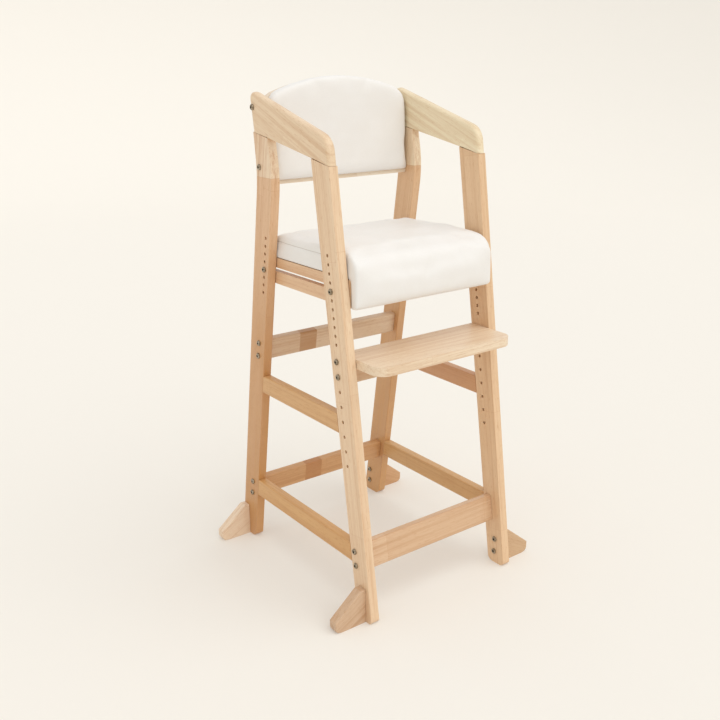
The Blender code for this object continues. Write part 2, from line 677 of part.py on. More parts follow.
def make_footrest(wood, chair):
    half = INNER_X - SIDE_GAP
    top_bolt, lower_bolt = FOOTREST_BOLTS
    rear = top_bolt[0] + FOOTREST_REAR
    front = rear - FOOTREST_DEPTH
    low = top_bolt[1] - FOOTREST_THICKNESS / 2
    high = top_bolt[1] + FOOTREST_THICKNESS / 2
    corners = [
        (-half, front, FOOTREST_CORNER),
        (half, front, FOOTREST_CORNER),
        (half, rear, 0.004),
        (-half, rear, 0.004)]
    bm = slab(round_corners(corners, steps=6), low, high, "Z")
    on_rim = rim_edges(2, low, high)
    round_edges(bm, FOOTREST_NOSE, on_rim_front(on_rim, rear), steps=3)
    board = new_object("footrest_board", mesh_of("footrest_board", bm), wood, chair)
    holes = []
    for side in SIDES.values():
        holes += end_holes([top_bolt], half, CROSS_BOLT, side)
    cut(board, hole_cutter("footrest_board_holes", holes))

    apron_top = low - JOINT_GAP
    apron_low = apron_top - APRON_HEIGHT
    middle = Vector(lower_bolt)
    outline = round_corners([
        (middle.x - BOARD / 2, apron_low, SMALL_EDGE),
        (middle.x + BOARD / 2, apron_low, SMALL_EDGE),
        (middle.x + BOARD / 2, apron_top, 0),
        (middle.x - BOARD / 2, apron_top, 0)])
    name = "footrest_apron"
    apron = new_object(name, mesh_of(name, slab(outline, -half, half, "X")), wood, chair)
    holes = []
    for side in SIDES.values():
        holes += end_holes([lower_bolt], half, CROSS_BOLT, side)
    cut(apron, hole_cutter(f"{name}_holes", holes))


def on_rim_front(on_rim, rear):
    """The board's rims, except along its rear edge."""
    return lambda e: on_rim(e) and not all(v.co.y > rear - 0.005 for v in e.verts)


# ---------------------------------------------------------------- backrest


def back_outline(half, bottom, top):
    """Upright sides that round into a shallow arched top, as (x, z)."""
    arch_steps = 8
    shoulder = 0.85 * half
    arch_radius = (shoulder ** 2 + BACK_ARCH_DROP ** 2) / (2 * BACK_ARCH_DROP)
    centre_z = top - arch_radius
    sweep = math.asin(shoulder / arch_radius)
    corners = [(-half, bottom, 0.004), (half, bottom, 0.004)]
    corners.append((half, top - BACK_ARCH_DROP - 0.5 * BACK_CORNER_RADIUS, BACK_CORNER_RADIUS))
    for k in range(arch_steps + 1):
        angle = sweep * (1 - 2 * k / arch_steps)
        radius = 0.012 if k in (0, arch_steps) else 0
        corners.append((arch_radius * math.sin(angle), centre_z + arch_radius * math.cos(angle), radius))
    corners.append((-half, top - BACK_ARCH_DROP - 0.5 * BACK_CORNER_RADIUS, BACK_CORNER_RADIUS))
    return round_corners(corners)


def back_plane(z):
    """The middle of the backrest board, which leans back on the line of its bolts."""
    return BACK_LOW_BOLT[0] + BACK_LEAN * (z - BACK_LOW_BOLT[1])


def loft_between(outline, front_y, rear_y):
    """A closed solid of the outline, between a front and a rear surface given as y(z)."""
    bm = slab(outline, 0, 1, "Y")
    for vert in bm.verts:
        vert.co.y = rear_y(vert.co.z) if vert.co.y > 0.5 else front_y(vert.co.z)
    bmesh.ops.recalc_face_normals(bm, faces=bm.faces)
    return bm


def make_backrest(wood, vinyl, chair):
    half = INNER_X - JOINT_GAP
    reach = BACK_BOARD_THICKNESS / 2
    outline = back_outline(half, BACK_BOARD_BOTTOM_Z, BACK_BOARD_TOP_Z)
    bm = loft_between(outline, lambda z: back_plane(z) - reach, lambda z: back_plane(z) + reach)
    board = new_object("backrest_board", mesh_of("backrest_board", bm), wood, chair)
    holes = []
    for side in SIDES.values():
        holes += end_holes([BACK_LOW_BOLT, BACK_HIGH_BOLT], half, CROSS_BOLT, side)
    cut(board, hole_cutter("backrest_board_holes", holes))

    rise = BACK_CUSHION_TOP_Z - BACK_CUSHION_BOTTOM_Z
    swell = (BACK_CUSHION_TOP_DEPTH - BACK_CUSHION_BASE_DEPTH) / rise

    def board_face(z):
        return back_plane(z) - reach - JOINT_GAP

    def cushion_face(z):
        return board_face(z) - BACK_CUSHION_BASE_DEPTH - swell * (z - BACK_CUSHION_BOTTOM_Z)

    outline = back_outline(CUSHION_HALF, BACK_CUSHION_BOTTOM_Z, BACK_CUSHION_TOP_Z)
    bm = loft_between(outline, cushion_face, board_face)

    def front_rim(edge):
        return all(near(v.co.y, cushion_face(v.co.z)) for v in edge.verts)

    round_edges(bm, BACK_CUSHION_EDGE, front_rim, steps=2)
    new_object("backrest_cushion", mesh_of("backrest_cushion", bm), vinyl, chair)


# ---------------------------------------------------------------- assembly


def main():
    clear_scene()
    wood = material("rubberwood", (0.76, 0.55, 0.33), 0.50)
    vinyl = material("white_vinyl", (0.90, 0.87, 0.82), 0.42)
    metal = material("bolt_metal", (0.42, 0.35, 0.24), 0.35, metallic=1.0)
    chair = bpy.data.objects.new("high_chair", None)
    bpy.context.scene.collection.objects.link(chair)

    for hand, side in SIDES.items():
        make_front_leg(hand, side, wood, chair)
        make_rear_leg(hand, side, wood, chair)
        make_arm(hand, side, wood, chair)
        make_side_rail(f"lower_side_rail_{hand}", LOWER_SIDE_RAIL, side, wood, chair)
        make_side_rail(f"middle_side_rail_{hand}", MIDDLE_SIDE_RAIL, side, wood, chair)
        make_foot(f"front_foot_{hand}", side, FRONT_FOOT_Y, FRONT_FOOT_BOLTS, wood, chair)
        make_foot(f"rear_foot_{hand}", side, REAR_FOOT_Y, REAR_FOOT_BOLTS, wood, chair)
        make_seat_rail(hand, side, wood, chair)
        make_seat_nut(hand, side, metal, chair)

    make_cross_rail(
        "front_lower_rail", FRONT_RAIL_MIDDLE, FRONT_RAIL_HEIGHT, FRONT_REAR_LEAN,
        FRONT_RAIL_BOLTS, wood, chair)
    make_cross_rail(
        "rear_lower_rail", REAR_LOWER_MIDDLE, REAR_RAIL_HEIGHT, -REAR_LEG_LEAN,
        REAR_LOWER_BOLTS, wood, chair)
    make_cross_rail(
        "rear_middle_rail", REAR_MIDDLE_MIDDLE, REAR_RAIL_HEIGHT, -REAR_LEG_LEAN,
        REAR_MIDDLE_BOLTS, wood, chair)
    make_seat_cross_rail(wood, chair)
    make_seat_base(wood, chair)
    make_seat_cushion(vinyl, chair)
    make_footrest(wood, chair)
    make_backrest(wood, vinyl, chair)

    cross_bolt = bolt_mesh(CROSS_BOLT, metal)
    seat_bolt = bolt_mesh(SEAT_BOLT, metal)
    rear_seat_bolt = bolt_mesh(BOARD, metal)
    foot_bolt = bolt_mesh(FOOT_BOLT, metal)
    pairs = {
        "front_rail_bolt": FRONT_RAIL_BOLTS,
        "rear_lower_bolt": REAR_LOWER_BOLTS,
        "rear_middle_bolt": REAR_MIDDLE_BOLTS,
        "footrest_bolt": FOOTREST_BOLTS,
        "backrest_bolt": [BACK_HIGH_BOLT, BACK_LOW_BOLT]}
    for stem, (upper, lower) in pairs.items():
        place_bolts(stem, {"_top": upper, "_bottom": lower}, cross_bolt, metal, chair)
    place_bolts("front_seat_bolt", {"": FRONT_SEAT_BOLT}, seat_bolt, metal, chair)
    place_bolts("rear_seat_bolt", {"": REAR_SEAT_BOLT}, rear_seat_bolt, metal, chair)
    for stem, (lower, upper) in {
            "front_foot_bolt": FRONT_FOOT_BOLTS, "rear_foot_bolt": REAR_FOOT_BOLTS}.items():
        place_foot_bolts(stem, {"_top": upper, "_bottom": lower}, foot_bolt, metal, chair)


main()
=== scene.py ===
import json
import math

import bmesh
import bpy
from mathutils import Matrix, Vector


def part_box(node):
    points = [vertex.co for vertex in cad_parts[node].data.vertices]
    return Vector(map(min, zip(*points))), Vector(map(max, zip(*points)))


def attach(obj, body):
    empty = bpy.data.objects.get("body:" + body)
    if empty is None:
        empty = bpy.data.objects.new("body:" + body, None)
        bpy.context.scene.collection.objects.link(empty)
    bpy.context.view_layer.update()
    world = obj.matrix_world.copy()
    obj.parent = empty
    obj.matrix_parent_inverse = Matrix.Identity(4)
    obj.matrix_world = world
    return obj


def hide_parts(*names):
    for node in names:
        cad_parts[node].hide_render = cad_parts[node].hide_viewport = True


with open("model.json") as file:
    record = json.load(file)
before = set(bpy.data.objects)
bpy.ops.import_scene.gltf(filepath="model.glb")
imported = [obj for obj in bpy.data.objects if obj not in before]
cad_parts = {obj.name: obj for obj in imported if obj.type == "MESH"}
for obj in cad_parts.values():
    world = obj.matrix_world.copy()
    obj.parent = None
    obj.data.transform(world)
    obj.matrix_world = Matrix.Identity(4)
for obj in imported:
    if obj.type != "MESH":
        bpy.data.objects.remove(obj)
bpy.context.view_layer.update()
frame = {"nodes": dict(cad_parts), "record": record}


# ---------------------------------------------------------------- side frames
# Each side frame is glued up from 20 mm boards of rubberwood: a slanted front leg, a bent rear
# leg, the arm board across their tops and two rails between them. The boards are finger-jointed
# from short blocks, so their tone changes along their length, and they are lacquered satin.


class Wire:
    """One socket of a material's nodes. Sums on it add Math nodes; node() adds any other."""

    def __init__(self, socket):
        self.socket = socket
        self.tree = socket.id_data

    def node(self, kind, sockets, result=0, **settings):
        """Adds a node: its settings first, then the values or wires of its sockets."""
        made = self.tree.nodes.new(kind)
        for name, value in settings.items():
            setattr(made, name, value)
        for key, value in sockets.items():
            if isinstance(value, Wire):
                self.tree.links.new(value.socket, made.inputs[key])
            else:
                made.inputs[key].default_value = value
        return Wire(made.outputs[result])

    def sum(self, operation, *values):
        return self.node("ShaderNodeMath", dict(enumerate(values)), operation=operation)

    def __add__(self, other):
        return self.sum("ADD", self, other)

    def __radd__(self, other):
        return self.sum("ADD", other, self)

    def __sub__(self, other):
        return self.sum("SUBTRACT", self, other)

    def __rsub__(self, other):
        return self.sum("SUBTRACT", other, self)

    def __mul__(self, other):
        return self.sum("MULTIPLY", self, other)

    def __rmul__(self, other):
        return self.sum("MULTIPLY", other, self)

    def __truediv__(self, other):
        return self.sum("DIVIDE", self, other)

    def __rtruediv__(self, other):
        return self.sum("DIVIDE", other, self)

    def __pow__(self, other):
        return self.sum("POWER", self, other)

    def __mod__(self, other):
        return self.sum("FLOORED_MODULO", self, other)

    def floor(self):
        return self.sum("FLOOR", self)

    def sine(self):
        return self.sum("SINE", self)

    def root(self):
        return self.sum("SQRT", self)

    def size(self):
        return self.sum("ABSOLUTE", self)

    def larger(self, other):
        return self.sum("MAXIMUM", self, other)

    def axes(self):
        split = self.node("ShaderNodeSeparateXYZ", {"Vector": self}).socket.node
        return [Wire(out) for out in split.outputs]

    def stretched(self, scale):
        return self.node("ShaderNodeVectorMath", {0: self, 1: scale}, operation="MULTIPLY")

    def noise(self, scale, detail=2.0, roughness=0.5):
        """A cloudy value from 0 to 1 whose scale may differ along each axis."""
        place = self.stretched(scale)
        return self.node(
            "ShaderNodeTexNoise",
            {"Vector": place, "Scale": 1.0, "Detail": detail, "Roughness": roughness})

    def ramp(self, low, high):
        """0 below low, 1 above high, and smooth between."""
        return self.node(
            "ShaderNodeMapRange", {"Value": self, "From Min": low, "From Max": high},
            interpolation_type="SMOOTHSTEP", clamp=True)

    def tint(self, colour, shade):
        """A colour that goes to shade where this value is 1."""
        return self.node(
            "ShaderNodeMix", {0: self, 6: colour, 7: shade}, result=2, data_type="RGBA")


def new_finish(name):
    """A material, its shader's sockets, and the place on the piece as a wire."""
    made = bpy.data.materials.new(name)
    made.use_nodes = True
    shader = made.node_tree.nodes["Principled BSDF"]
    place = Wire(made.node_tree.nodes.new("ShaderNodeTexCoord").outputs["Object"])
    return made, shader, place


def drive(shader, **wires):
    """Links wires to the shader's sockets; an underscore stands for a space."""
    for name, wire in wires.items():
        wire.tree.links.new(wire.socket, shader.inputs[name.replace("_", " ")])


BLOCK_LENGTH = 0.27
STRIP_WIDTH = 0.058
STRIP_PHASE = 12.9
STAGGER = 3.0
JOINT_LINE = 0.0004
HEART_X = 0.035
HEART_Y = 0.012
HEART_LEAN = 0.05
HEART_WANDER = 0.03
RING_PHASE = 620
RING_WANDER = 11
DENSER_LOSS = (0.50, 0.80, 1.05)
EDGE_BLEND = 0.0006
BUMP_DEPTH = 0.0003


def deeper(tint, amount):
    """The tint of denser wood: it loses more green than red, and more blue than green."""
    return (*(c * (1 - amount * k) for c, k in zip(tint, DENSER_LOSS)), 1)


def rubberwood(name, grain, seed, tint, heart=0.0, brown_span=None, pale_above=None, low_tint=None):
    """Lacquered rubberwood of an even tint whose grain runs along a direction.

    heart is how strongly the flat-sawn arches show. brown_span is a stretch along x with a
    darker block, pale_above the height of a joint with a block of another tint over it, and
    low_tint a darker tint that a leg turns to towards the floor.
    """
    made, shader, place = new_finish(name)
    turn = Vector(grain).rotation_difference(Vector((0, 0, 1))).to_euler()
    along = place.node(
        "ShaderNodeMapping",
        {"Vector": place, "Location": (0.013 * seed, 0.021 * seed, 0.37 * seed), "Rotation": turn},
        vector_type="POINT")
    x, y, z = along.axes()

    strip = (y / STRIP_WIDTH).floor()
    step = z / BLOCK_LENGTH + (strip * STRIP_PHASE).sine() * STAGGER
    block = step.floor()
    key = place.node("ShaderNodeCombineXYZ", {0: strip, 1: block, 2: float(seed)})
    tone = key.node("ShaderNodeTexWhiteNoise", {"Vector": key}, noise_dimensions="3D")
    joint = 1 - ((step % 1.0) * BLOCK_LENGTH - JOINT_LINE).size().ramp(0.0001, 0.0005)

    wander = along.noise((7, 7, 1.6), detail=1.0)
    from_heart_x = x + HEART_X + z * HEART_LEAN + tone * HEART_WANDER
    from_heart_y = y * 0.8 - HEART_Y + tone * HEART_WANDER
    radial = (from_heart_x ** 2 + from_heart_y ** 2).root()
    rings = (radial * RING_PHASE + wander * RING_WANDER).sine() * 0.5 + 0.5
    streak = along.noise((120, 120, 2.0), detail=3.5, roughness=0.66)
    fibre = along.noise((1300, 1300, 22), detail=2.0)
    pores = along.noise((1150, 1150, 75), detail=0.0).ramp(0.68, 0.76)
    cloud = along.noise((14, 14, 3.0), detail=2.0)

    colour = tone.tint((*tint, 1), deeper(tint, 0.16))
    # Darker towards the floor: full low_tint below 0.42 m and none above 0.78 m.
    if low_tint is not None:
        colour = (1 - place.axes()[2].ramp(0.42, 0.78)).tint(colour, (*low_tint, 1))
    if pale_above is not None:
        joint_z, upper_tint = pale_above
        height = place.axes()[2] - joint_z
        colour = height.ramp(-JOINT_LINE, JOINT_LINE).tint(colour, (*upper_tint, 1))
        joint = joint.larger(1 - height.size().ramp(0.0001, 0.0006))
    if brown_span is not None:
        across = place.axes()[0]
        start, end = brown_span
        inside = across.ramp(start, start + EDGE_BLEND)
        inside = inside * (1 - across.ramp(end, end + EDGE_BLEND))
        colour = inside.tint(colour, deeper(tint, 0.66))
    colour = (cloud.ramp(0.35, 0.75) * 0.5).tint(colour, deeper(tint, 0.14))
    colour = (rings ** 6 * (0.14 + 0.6 * heart)).tint(colour, deeper(tint, 0.50))
    colour = (streak.ramp(0.46, 0.70) * 0.70).tint(colour, deeper(tint, 0.46))
    colour = (fibre.ramp(0.42, 0.72) * 0.30).tint(colour, deeper(tint, 0.42))
    colour = (pores * 0.45).tint(colour, deeper(tint, 0.70))
    colour = (joint * 0.40).tint(colour, deeper(tint, 0.70))

    height = fibre * 0.35 + streak * 0.3 - pores * 0.9 - joint * 0.6
    bump = place.node(
        "ShaderNodeBump", {"Strength": 0.22, "Distance": BUMP_DEPTH, "Height": height})
    drive(shader, Base_Color=colour, Normal=bump, Roughness=0.34 + fibre * 0.10 + pores * 0.15)
    shader.inputs["Coat Weight"].default_value = 0.18
    shader.inputs["Coat Roughness"].default_value = 0.22
    return made


WELD = 2e-6
FLAT_ANGLE = 0.004
SHARP_ANGLE = 0.62
FACE_WEIGHT = 80


def eased_board(node, body, finish, ease=0.0006):
    """A board of the CAD's shape, with its sharp edges eased and its roundings shaded smooth."""
    mesh = bpy.data.meshes.new(f"{node}_eased")
    bm = bmesh.new()
    bm.from_mesh(frame["nodes"][node].data)
    bmesh.ops.remove_doubles(bm, verts=bm.verts, dist=WELD)
    bmesh.ops.dissolve_limit(bm, angle_limit=FLAT_ANGLE, verts=bm.verts, edges=bm.edges)
    sharp = [e for e in bm.edges if len(e.link_faces) == 2 and e.calc_face_angle() > SHARP_ANGLE]
    bmesh.ops.bevel(
        bm, geom=sharp, offset=ease, offset_type="OFFSET", affect="EDGES", segments=2,
        profile=0.5, material=-1, clamp_overlap=True)
    for face in bm.faces:
        face.smooth = True
    for edge in bm.edges:
        edge.smooth = len(edge.link_faces) == 2 and edge.calc_face_angle() < SHARP_ANGLE
    bm.to_mesh(mesh)
    bm.free()
    board = bpy.data.objects.new(f"{node}_board", mesh)
    bpy.context.scene.collection.objects.link(board)
    mesh.materials.clear()
    mesh.materials.append(finish)
    weigh = board.modifiers.new("flat_faces", "WEIGHTED_NORMAL")
    weigh.keep_sharp = True
    weigh.weight = FACE_WEIGHT
    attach(board, body)
    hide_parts(node)


FRONT_LEG_GRAIN = (0, 0.149, 1)
REAR_LEG_GRAIN = (0, -0.155, 1)
ARM_GRAIN = (0, 1, 0.40)
SIDE_GRAIN = (0, 1, 0)
KNEE_JOINT_Z = 0.848
# The front legs' tints are their wood's tone made paler in green and blue, a painted sheen for the
# lacquer's whitish reflection on their front edges.
FRONT_LEG_TINT_AND_SHEEN = {"left": (0.870, 0.670, 0.465), "right": (0.820, 0.590, 0.375)}
REAR_LEG_TINT = {"left": (0.770, 0.510, 0.310), "right": (0.770, 0.520, 0.310)}
REAR_LEG_LOW_TINT = {"left": (0.575, 0.290, 0.100), "right": (0.620, 0.340, 0.135)}
REAR_LEG_UPPER_TINT = {"left": (0.860, 0.690, 0.500), "right": (0.870, 0.720, 0.520)}
ARM_TINT = {"left": (0.870, 0.700, 0.500), "right": (0.930, 0.840, 0.620)}
MIDDLE_SIDE_TINT = {"left": (0.700, 0.425, 0.190), "right": (0.700, 0.410, 0.220)}
LOWER_SIDE_TINT = {"left": (0.710, 0.420, 0.170), "right": (0.700, 0.440, 0.200)}
for count, hand in enumerate(("left", "right")):
    eased_board(
        f"front_leg_{hand}", "frame",
        rubberwood(
            f"front_leg_wood_{hand}", FRONT_LEG_GRAIN, 1 + count, FRONT_LEG_TINT_AND_SHEEN[hand], heart=0.05))
    eased_board(
        f"rear_leg_{hand}", "frame",
        rubberwood(
            f"rear_leg_wood_{hand}", REAR_LEG_GRAIN, 3 + count, REAR_LEG_TINT[hand],
            pale_above=(KNEE_JOINT_Z, REAR_LEG_UPPER_TINT[hand]), low_tint=REAR_LEG_LOW_TINT[hand]))
    eased_board(
        f"arm_{hand}", "frame",
        rubberwood(f"arm_wood_{hand}", ARM_GRAIN, 5 + count, ARM_TINT[hand], heart=0.08))
    eased_board(
        f"middle_side_rail_{hand}", "frame",
        rubberwood(f"middle_side_wood_{hand}", SIDE_GRAIN, 7 + count, MIDDLE_SIDE_TINT[hand]))
    eased_board(
        f"lower_side_rail_{hand}", "frame",
        rubberwood(f"lower_side_wood_{hand}", SIDE_GRAIN, 9 + count, LOWER_SIDE_TINT[hand]))


# ---------------------------------------------------------------- cross rails and feet
# Three rails tie the side frames together. The two rear ones each have one darker block.
# The four anti-tip feet are sloping plates screwed to the outer faces of the legs.

CROSS_GRAIN = (1, 0, 0)
FOOT_SLOPE = 0.55
FOOT_EASE = 0.0009
LOWER_BROWN = (-0.054, -0.008)
MIDDLE_BROWN = (-0.094, -0.050)
FRONT_RAIL_TINT = (0.745, 0.525, 0.340)
REAR_LOWER_TINT = (0.710, 0.430, 0.210)
REAR_MIDDLE_TINT = (0.780, 0.610, 0.440)
FOOT_TINT = {
    "front_foot_left": (0.650, 0.455, 0.300), "front_foot_right": (0.640, 0.435, 0.255),
    "rear_foot_left": (0.880, 0.710, 0.540), "rear_foot_right": (0.700, 0.440, 0.240)}
eased_board(
    "front_lower_rail", "frame", rubberwood("front_rail_wood", CROSS_GRAIN, 12, FRONT_RAIL_TINT))
eased_board(
    "rear_lower_rail", "frame",
    rubberwood("rear_lower_wood", CROSS_GRAIN, 13, REAR_LOWER_TINT, brown_span=LOWER_BROWN))
eased_board(
    "rear_middle_rail", "frame",
    rubberwood("rear_middle_wood", CROSS_GRAIN, 14, REAR_MIDDLE_TINT, brown_span=MIDDLE_BROWN))
for count, (foot, tint) in enumerate(FOOT_TINT.items()):
    foot_grain = (1 if "left" in foot else -1, 0, FOOT_SLOPE)
    eased_board(
        foot, "frame", rubberwood(f"{foot}_wood", foot_grain, 16 + count, tint), ease=FOOT_EASE)


# ---------------------------------------------------------------- seat frame
# The seat is a small frame of two slotted side rails and a front rail, with a panel on top for
# the cushion. It slides on two bolts a side, which pass through the slots.

SEAT_RAIL_TINT = (0.820, 0.570, 0.360)
SEAT_PANEL_TINT = (0.740, 0.560, 0.380)
for count, hand in enumerate(("left", "right")):
    eased_board(
        f"seat_rail_{hand}", "seat",
        rubberwood(f"seat_rail_wood_{hand}", SIDE_GRAIN, 20 + count, SEAT_RAIL_TINT))
eased_board(
    "seat_front_rail", "seat", rubberwood("seat_front_wood", CROSS_GRAIN, 22, SEAT_RAIL_TINT))
eased_board("seat_base", "seat", rubberwood("seat_base_wood", CROSS_GRAIN, 23, SEAT_PANEL_TINT))


# ---------------------------------------------------------------- seat cushion
# A foam pad in soft white imitation leather. Its top panel rolls over the front and hangs down
# as a flap, and a sewn seam joins it to the band round the sides and the back.

PAD_HALF_WIDTH = 0.1725
SIDE_BAND = 0.0030
SEAM_CORNER_Y = -0.112
SEAM_CORNER_Z = 0.678
SEAM_REACH = 0.040
SEAM_DEPTH = 0.0016
SEAM_WIDTH = 0.0032
SEAM_SINKS_FROM_X = 0.150
SEAM_SHOWS_FROM_X = 0.155
SEAM_FROM_Y = 0.090
STITCH_HALF_WIDTH = 0.0010
SEAT_VOXEL = 0.0050
AIR_PRESSURE = 4.0
AIR_STEPS = 20
COVER_STIFFNESS = 20
VINYL_SHADED = (0.860, 0.845, 0.825, 1)
VINYL_PALE = (0.885, 0.876, 0.866, 1)
PEBBLE_PAINTED_SHADE = (0.62, 0.58, 0.54, 1)
SEAM_PAINTED_SHADE = (0.48, 0.43, 0.38, 1)


def white_vinyl(name, seam=None):
    """White imitation leather with a fine pebble; seam gives a wire that is 1 on the stitching."""
    made, shader, place = new_finish(name)
    cells = place.node(
        "ShaderNodeTexVoronoi", {"Vector": place, "Scale": 850.0, "Randomness": 0.9},
        feature="DISTANCE_TO_EDGE")
    pebble = cells.ramp(0.0, 0.22)
    cloud = place.noise((22, 22, 22), detail=3.0)
    crease = place.noise((160, 60, 160), detail=4.0, roughness=0.6)
    colour = (cloud.ramp(0.35, 0.7) * 0.5).tint(VINYL_SHADED, VINYL_PALE)
    # Painted shade darkens the grooves between the pebbles.
    colour = ((1 - pebble) * 0.10).tint(colour, PEBBLE_PAINTED_SHADE)
    height = pebble * 0.5 + crease * 0.9
    if seam is not None:
        line = seam(place)
        # Painted shade darkens the seam's groove.
        colour = (line * 0.55).tint(colour, SEAM_PAINTED_SHADE)
        height = height - line * 6.0
    bump = place.node(
        "ShaderNodeBump", {"Strength": 0.20, "Distance": BUMP_DEPTH, "Height": height})
    gloss = 0.40 + cloud * 0.08 + (1 - pebble) * 0.08
    drive(shader, Base_Color=colour, Normal=bump, Roughness=gloss)
    shader.inputs["Sheen Weight"].default_value = 0.08
    return made


def pad_start(node):
    """The CAD pad as one closed mesh."""
    bm = bmesh.new()
    bm.from_mesh(frame["nodes"][node].data)
    bmesh.ops.remove_doubles(bm, verts=bm.verts, dist=WELD)
    mesh = bpy.data.meshes.new(f"{node}_start")
    bm.to_mesh(mesh)
    bm.free()
    pad = bpy.data.objects.new(f"{node}_pad", mesh)
    bpy.context.scene.collection.objects.link(pad)
    return pad


def settled(pad):
    """Applies the pad's modifiers as they stand at the current frame."""
    graph = bpy.context.evaluated_depsgraph_get()
    mesh = bpy.data.meshes.new_from_object(pad.evaluated_get(graph))
    pad.modifiers.clear()
    pad.data = mesh


def relax(pad, held, times):
    """Evens out folds finer than a few voxels, away from the held points."""
    bm = bmesh.new()
    bm.from_mesh(pad.data)
    free = [v for v in bm.verts if not held(v.co)]
    for _ in range(times):
        bmesh.ops.smooth_vert(
            bm, verts=free, factor=0.5, use_axis_x=True, use_axis_y=True, use_axis_z=True)
    bm.to_mesh(pad.data)
    bm.free()


def swell(pad, voxel, held, edge_held):
    """Remeshes the pad evenly and lets air pressure swell its cover, by one voxel at most.

    The cloth simulation pins the held points, and the edge_held ones aren't evened out after it.
    """
    remesh = pad.modifiers.new("even", "REMESH")
    remesh.mode = "VOXEL"
    remesh.voxel_size = voxel
    settled(pad)
    rest = [v.co.copy() for v in pad.data.vertices]
    pinned = pad.vertex_groups.new(name="held")
    pinned.add([i for i, co in enumerate(rest) if held(co)], 1.0, "REPLACE")
    cloth = pad.modifiers.new("air", "CLOTH")
    cloth.settings.use_pressure = True
    cloth.settings.uniform_pressure_force = AIR_PRESSURE
    cloth.settings.bending_stiffness = COVER_STIFFNESS
    cloth.settings.effector_weights.gravity = 0
    cloth.settings.vertex_group_mass = "held"
    cloth.settings.quality = 5
    cloth.collision_settings.use_collision = False
    cloth.collision_settings.use_self_collision = False
    for moment in range(1, AIR_STEPS + 1):
        bpy.context.scene.frame_set(moment)
    settled(pad)
    bpy.context.scene.frame_set(1)
    for vert, co in zip(pad.data.vertices, rest):
        move = vert.co - co
        if move.length > voxel:
            vert.co = co + move * (voxel / move.length)
    relax(pad, edge_held, 5)


def finish_pad(pad, finish, body, node):
    """Shades the pad smooth, covers it, attaches it to the body it rides and hides the CAD pad it
    stands for.
    """
    for face in pad.data.polygons:
        face.use_smooth = True
    pad.data.materials.clear()
    pad.data.materials.append(finish)
    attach(pad, body)
    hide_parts(node)


def refine(pad):
    """Subdivides the pad once."""
    soft = pad.modifiers.new("soft", "SUBSURF")
    soft.levels = 1
    soft.render_levels = 1
    settled(pad)


def from_seam(y, z):
    """Distance in the side view from the line of the seat pad's seam."""
    ahead = max(SEAM_CORNER_Y - y, 0)
    above = max(z - SEAM_CORNER_Z, 0)
    return abs(math.hypot(ahead, above) - SEAM_REACH)


def seat_seam(place):
    """The same line as a wire: 1 on it and 0 a millimetre away, on the sides and the back."""
    x, y, z = place.axes()
    ahead = (SEAM_CORNER_Y - y).larger(0.0)
    above = (z - SEAM_CORNER_Z).larger(0.0)
    away = ((ahead ** 2 + above ** 2).root() - SEAM_REACH).size()
    sides = x.size().ramp(SEAM_SHOWS_FROM_X, SEAM_SHOWS_FROM_X + 0.003)
    rear = y.ramp(SEAM_FROM_Y, SEAM_FROM_Y + 0.004)
    return (1 - away.ramp(0.0003, STITCH_HALF_WIDTH)) * sides.larger(rear)


_, base_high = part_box("seat_base")
rail_low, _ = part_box("seat_front_rail")
PINNED_TO_Z = base_high.z + 0.001
PINNED_FROM_Y = rail_low.y - 0.0025


def on_panel(co):
    """True where the seat pad is stapled round its panel or lies against the front rail."""
    return co.z < PINNED_TO_Z and co.y > PINNED_FROM_Y


def at_sides(co):
    """True there and on the pad's straight sides, which stay full between the side frames."""
    return on_panel(co) or abs(co.x) > PAD_HALF_WIDTH - SIDE_BAND


seat_pad = pad_start("seat_cushion")
swell(seat_pad, SEAT_VOXEL, on_panel, at_sides)
refine(seat_pad)
for vert in seat_pad.data.vertices:
    sunk = SEAM_DEPTH * math.exp(-(from_seam(vert.co.y, vert.co.z) / SEAM_WIDTH) ** 2)
    if abs(vert.co.x) > SEAM_SINKS_FROM_X:
        vert.co.x -= math.copysign(sunk, vert.co.x)
    if vert.co.y > SEAM_FROM_Y:
        vert.co.y -= sunk
    vert.co.x = max(-PAD_HALF_WIDTH, min(PAD_HALF_WIDTH, vert.co.x))
finish_pad(seat_pad, white_vinyl("seat_vinyl", seat_seam), "seat", "seat_cushion")


# ---------------------------------------------------------------- footrest
# A rounded rubberwood board for the child's feet, with an apron of the same wood under it.
# Four bolts through the front legs' lower row of holes carry it, so it can be set lower.

FOOTREST_TINT = (0.880, 0.730, 0.550)
APRON_TINT = (0.740, 0.520, 0.330)
eased_board(
    "footrest_board", "footrest",
    rubberwood("footrest_wood", CROSS_GRAIN, 25, FOOTREST_TINT, heart=0.20))
eased_board("footrest_apron", "footrest", rubberwood("apron_wood", CROSS_GRAIN, 26, APRON_TINT))


# ---------------------------------------------------------------- backrest
# A thin arched board between the side frames, bolted to them at its edges. Its front carries a
# foam pad in the same white imitation leather as the seat.

COVER_RISE = 0.0028
BACK_VOXEL = 0.0045
BACK_LEAN = 0.20
BACK_REAR_Y = 0.0995
BACK_RIM_Y = 0.0955
BACK_BOARD_TINT = (0.880, 0.780, 0.640)
eased_board("backrest_board", "frame", rubberwood("back_wood", CROSS_GRAIN, 28, BACK_BOARD_TINT))

back_low, back_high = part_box("backrest_cushion")


def on_board(co):
    """True on the flat rear of the back pad."""
    return co.y > BACK_REAR_Y + BACK_LEAN * (co.z - back_low.z)


def near_board(co):
    """True on its rim and straight sides too, so that the cover stays over the board's edges."""
    on_rim = co.y > BACK_RIM_Y + BACK_LEAN * (co.z - back_low.z)
    return on_rim or abs(co.x) > PAD_HALF_WIDTH - SIDE_BAND


